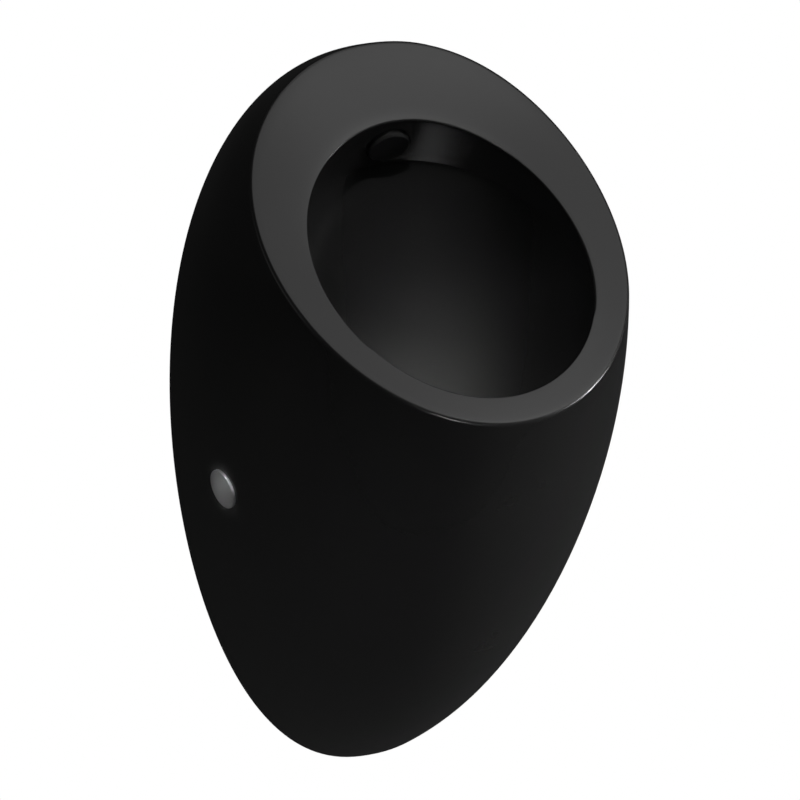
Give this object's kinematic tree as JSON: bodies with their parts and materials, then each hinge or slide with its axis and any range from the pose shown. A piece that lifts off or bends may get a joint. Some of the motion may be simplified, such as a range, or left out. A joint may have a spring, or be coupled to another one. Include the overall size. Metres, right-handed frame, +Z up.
{
  "type": "wall hung urinal",
  "caption": "Egg-shaped wall hung urinal with a slanted open rim, deep round bowl, side fixing caps, flush nozzle, lift-out strainer and bottle trap behind.",
  "frame": {"origin": "centre of the four wall-screw holes, on the wall plane at the back of the urinal", "axes": "+X to the right as seen from the front, +Y into the wall, +Z up; the bowl opens towards -Y"},
  "size_m": [0.295, 0.3007, 0.5355],
  "materials": {
    "glaze": "satin black glaze",
    "foam": "closed-cell foam strip",
    "nylon": "natural nylon",
    "chrome": "satin chrome plate",
    "zinc_steel": "bright zinc plate",
    "black_plastic": "moulded",
    "rubber": "moulded",
    "brass": "turned",
    "white_plastic": "moulded",
    "grey_pipe": "extruded pipe"
  },
  "bodies": {
    "urinal": {"ceramic_body": "glaze", "wall_pad": "foam", "side_bush_left": "nylon", "side_bush_right": "nylon", "side_screw_left": "zinc_steel", "side_screw_right": "zinc_steel", "wall_bracket_left": "zinc_steel", "wall_bracket_right": "zinc_steel", "flush_nozzle": "black_plastic", "nozzle_gasket": "rubber", "nozzle_washer": "rubber", "nozzle_nut": "brass", "inlet_elbow": "brass", "drain_fitting": "chrome", "drain_gasket": "rubber", "drain_washer": "rubber", "drain_nut": "brass", "trap_body": "white_plastic", "trap_union_nut": "white_plastic", "trap_washer": "rubber", "trap_dip_tube": "white_plastic", "trap_base_cap": "white_plastic", "trap_base_seal": "rubber", "outlet_pipe": "grey_pipe", "outlet_seal": "rubber", "outlet_nut": "white_plastic"},
    "left_cap": {"side_cap_left": "chrome"},
    "right_cap": {"side_cap_right": "chrome"},
    "strainer": {"drain_strainer": "chrome"}
  },
  "joints": [
    {"name": "left_cap_pull", "type": "slide", "parent": "urinal", "child": "left_cap", "axis": [-0.9661, -0.204, -0.158], "range_m": [0, 0.025]},
    {"name": "right_cap_pull", "type": "slide", "parent": "urinal", "child": "right_cap", "axis": [0.9661, -0.204, -0.158], "range_m": [0, 0.025]},
    {"name": "strainer_lift", "type": "slide", "parent": "urinal", "child": "strainer", "axis": [0, 0, 1], "range_m": [0, 0.06]}
  ]
}
